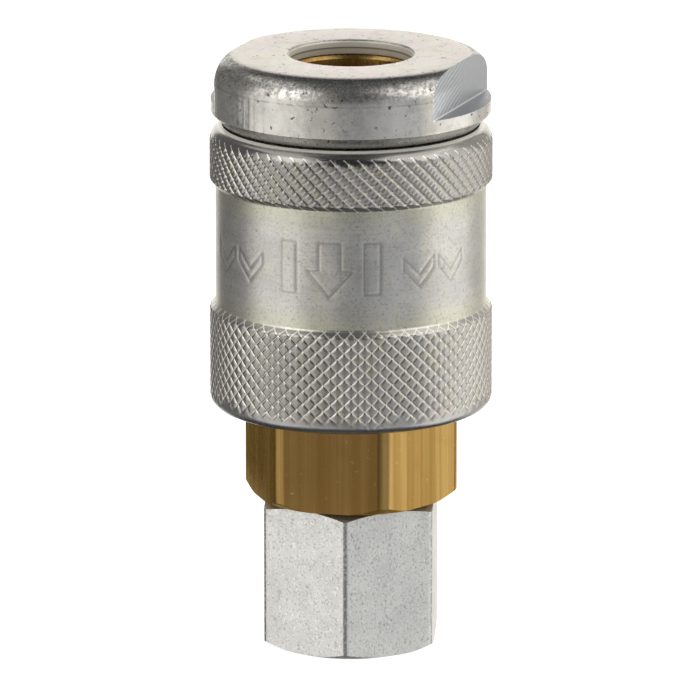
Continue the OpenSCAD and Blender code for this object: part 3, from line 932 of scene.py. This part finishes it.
def knurl(rows, columns, fine):
    """Depth from 0 at a crest to 1 in a groove. Fine knurls rise in closer, shallower lines."""
    def groove(count, period, sharp=4.4):
        share = np.abs((count / period + 0.5) % 1 - 0.5) * 2
        return (1 - share) ** sharp

    across = columns - rows
    rising = 0.52 * groove(across, STEPS / 2, 1.6) if fine else groove(across, STEPS)
    return np.maximum(groove(columns + rows, STEPS), rising)


def sleeve_rows():
    """The outline as (r, z, knurl row or None), and the heights of the band's ends and the hem."""
    hem, cut_off = 1.2, 0.55
    shoulder = SLEEVE_R - COUNTERBORE_R + cut_off
    hem_top, step_h = SLEEVE_LOW + hem, SLEEVE_R - PLAIN_R
    lower_top, upper_low = SLEEVE_LOW + 9.9, SLEEVE_TOP - 5.35
    shoulder_low = SLEEVE_TOP - math.sqrt(shoulder ** 2 - cut_off ** 2)

    # The hem and the lower knurls
    count = round((lower_top - hem_top) / CELL_Z)
    cell = (lower_top - hem_top) / count
    below = 4
    start = math.acos(below * cell / hem)
    rows = [(SLEEVE_R - hem + hem * math.sin(t), hem_top - hem * math.cos(t), None)
            for t in np.linspace(0, start, 8)[:-1]]
    for i in range(-below, 1):
        rows.append((SLEEVE_R - hem + math.sqrt(hem ** 2 - (i * cell) ** 2), hem_top + i * cell, i))
    rows += [(SLEEVE_R, hem_top + i * cell, i) for i in range(1, count + 1)]

    # The plain band between its two steps
    for k in range(1, 5):
        rows.append((SLEEVE_R - step_h * k / 4, lower_top + step_h * k / 4, count + k))
    plain_low, plain_high = lower_top + step_h, upper_low - step_h
    plain = 62
    for k in range(1, plain):
        rows.append((PLAIN_R, plain_low + (plain_high - plain_low) * k / plain, None))
    rows += [(PLAIN_R + step_h * k / 4, plain_high + step_h * k / 4, k - 4) for k in range(4)]

    # The upper knurls and the shoulder
    count, above = round((shoulder_low - upper_low) / CELL_Z), 6
    cell = (shoulder_low - upper_low) / count
    rows += [(SLEEVE_R, upper_low + i * cell, i) for i in range(count + 1)]
    for i in range(1, above + 1):
        r = SLEEVE_R - shoulder + math.sqrt(shoulder ** 2 - (i * cell) ** 2)
        rows.append((r, shoulder_low + i * cell, count + i))
    steep, end = math.asin(above * cell / shoulder), math.acos(cut_off / shoulder)
    for t in np.linspace(steep, end, 8)[1:]:
        r = SLEEVE_R - shoulder + shoulder * math.cos(t)
        rows.append((r, shoulder_low + shoulder * math.sin(t), None))
    return rows, (plain_low, plain_high, hem_top)


def make_sleeve():
    """The knurled sleeve, with its engraved marks. Its bore has a quarter of the columns."""
    rows, (plain_low, plain_high, hem_top) = sleeve_rows()
    columns = STARTS * STEPS
    angle = np.arange(columns) * TAU / columns
    r, z = (spread([point[i] for point in rows], columns) for i in (0, 1))
    knurl_row = spread([np.nan if point[2] is None else point[2] for point in rows], columns)
    row, column = np.nan_to_num(knurl_row), np.arange(columns)
    upper = z > plain_high - 0.01
    depth = np.where(upper, knurl(row, column, True), knurl(row, column, False))

    # The lower grooves fade out unevenly towards the hem
    rng = np.random.default_rng(7)
    wobble = np.repeat(rng.normal(0, 1, columns // 4), 4)
    wobble = sum(np.roll(wobble, k) for k in range(-3, 4)) / 7
    hem_fade = np.clip((z - hem_top + 0.5 - 0.35 * wobble) / 0.9, 0, 1)
    depth = np.where(np.isnan(knurl_row), 0, depth) * hem_fade
    r = np.minimum(r, SLEEVE_R - GROOVE_DEPTH * depth * np.where(upper, FINE_DEPTH, 1))

    on_band = (z > plain_low) & (z < plain_high)
    middle_z = (plain_low + plain_high) / 2 + 0.2
    mark = np.where(on_band, mark_depth(angle, z, middle_z), 0)
    r = r - MARK_DEPTH * mark
    points = [np.stack([r * np.cos(angle), r * np.sin(angle), z], -1).reshape(-1, 3)]

    lip, flare, land_r, spring_room_r, hem_r = 0.16, 0.04, 8, 10.85, 11.15
    cone_r, floor_z, cone_low, land_low = 8.78, 46.5, 43.9, 41
    bore = [(COUNTERBORE_R + flare, SLEEVE_TOP), (COUNTERBORE_R, SLEEVE_TOP - lip)]
    bore += rounded([(COUNTERBORE_R, SLEEVE_TOP - 1), (COUNTERBORE_R, floor_z), (cone_r, floor_z),
                     (land_r, cone_low), (land_r, land_low), (spring_room_r, land_low),
                     (spring_room_r, SLEEVE_LOW + 0.3), (hem_r, SLEEVE_LOW)],
                    [0, 0.1, 0.1, 0.1, 0.1, 0.1, 0, 0], 3)
    few = columns // 4
    few_angle = np.arange(few) * TAU / few
    ring = np.array(bore)
    points.append(np.stack([ring[:, :1] * np.cos(few_angle), ring[:, :1] * np.sin(few_angle),
                            np.repeat(ring[:, 1:], few, 1)], -1).reshape(-1, 3))

    faces = knurl_faces(columns, knurl_row[:, 0])
    start = len(rows) * columns
    for here in range(start, start + (len(bore) - 1) * few, few):
        for k in range(few):
            n = (k + 1) % few
            faces.append((here + k, here + n, here + few + n, here + few + k))
    faces += rim_faces(start - columns, columns, start, few)
    faces += rim_faces(0, columns, start + (len(bore) - 1) * few, few)
    sleeve = add_mesh("knurled_sleeve", np.concatenate(points), faces, 75)
    for name, values in (("groove", depth), ("mark", mark)):
        layer = sleeve.data.attributes.new(name, "FLOAT", "POINT")
        padded = np.zeros(len(sleeve.data.vertices), np.float32)
        padded[:values.size] = values.ravel()
        layer.data.foreach_set("value", padded)
    look = sleeve_look(plain_low, plain_high)
    place(sleeve, "sleeve", "sleeve_shell", look)


def knurl_faces(columns, knurl_rows):
    """Faces of the outer skin. In the knurls, each cell's diagonal lies along the nearer groove."""
    faces = []
    for i, (here, above) in enumerate(zip(knurl_rows, knurl_rows[1:])):
        low, high = i * columns, (i + 1) * columns
        for k in range(columns):
            n = (k + 1) % columns
            a, b, c, d = low + k, low + n, high + n, high + k
            falling, rising = (k + here + 1) % STEPS, (k - here) % STEPS
            if np.isnan(here) or np.isnan(above):
                faces.append((a, b, c, d))
            elif min(falling, STEPS - falling) <= min(rising, STEPS - rising):
                faces += [(a, b, d), (b, c, d)]
            else:
                faces += [(a, b, c), (a, c, d)]
    return faces


def rim_faces(outer, columns, inner, few):
    """Faces between a ring of many points and one with fewer."""
    faces, step = [], columns // few
    for k in range(few):
        n = (k + 1) % few
        for j in range(step):
            faces.append((outer + k * step + j, outer + (k * step + j + 1) % columns, inner + k))
        faces.append((outer + (k + 1) * step % columns, inner + n, inner + k))
    return faces


# ---------------- the whole object
def squash_spring(spring):
    """Gives the spring a mesh of its own."""
    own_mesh(spring)


def build():
    brass, wire, washer, rubber = brass_look(), wire_look(), washer_look(), rubber_look()
    make_nose_cap()
    make_valve_body(brass)
    make_connector()
    make_sleeve()
    make_valve(brass)
    make_plate(washer)
    make_seal_ring(rubber)
    make_ring("connector_gasket", "connector_seal", "housing", rubber, 7.0, 0.1)
    make_ring("valve_gasket", "valve_seal", "poppet", rubber, 3.95, 0.12)
    for name, node, body in (("upper_washer", "sleeve_thrust_washer", "sleeve_carrier"),
                             ("lower_washer", "sleeve_spring_washer", "housing")):
        make_ring(name, node, body, washer, WASHER_BORE_R, 0.15)
    large = make_spring("large_spring", "sleeve_spring", wire, 1.2, 5)
    small = make_spring("small_spring", "valve_spring", wire, 0.8, 6.5)
    squash_spring(large)
    squash_spring(small)
    polished = ball_look()
    for n in range(1, BALL_COUNT + 1):
        for material_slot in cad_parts[f"lock_ball_{n}"].material_slots:
            material_slot.material = polished


add_camera()
add_lights()
add_floor()
build()

bpy.context.view_layer.update()
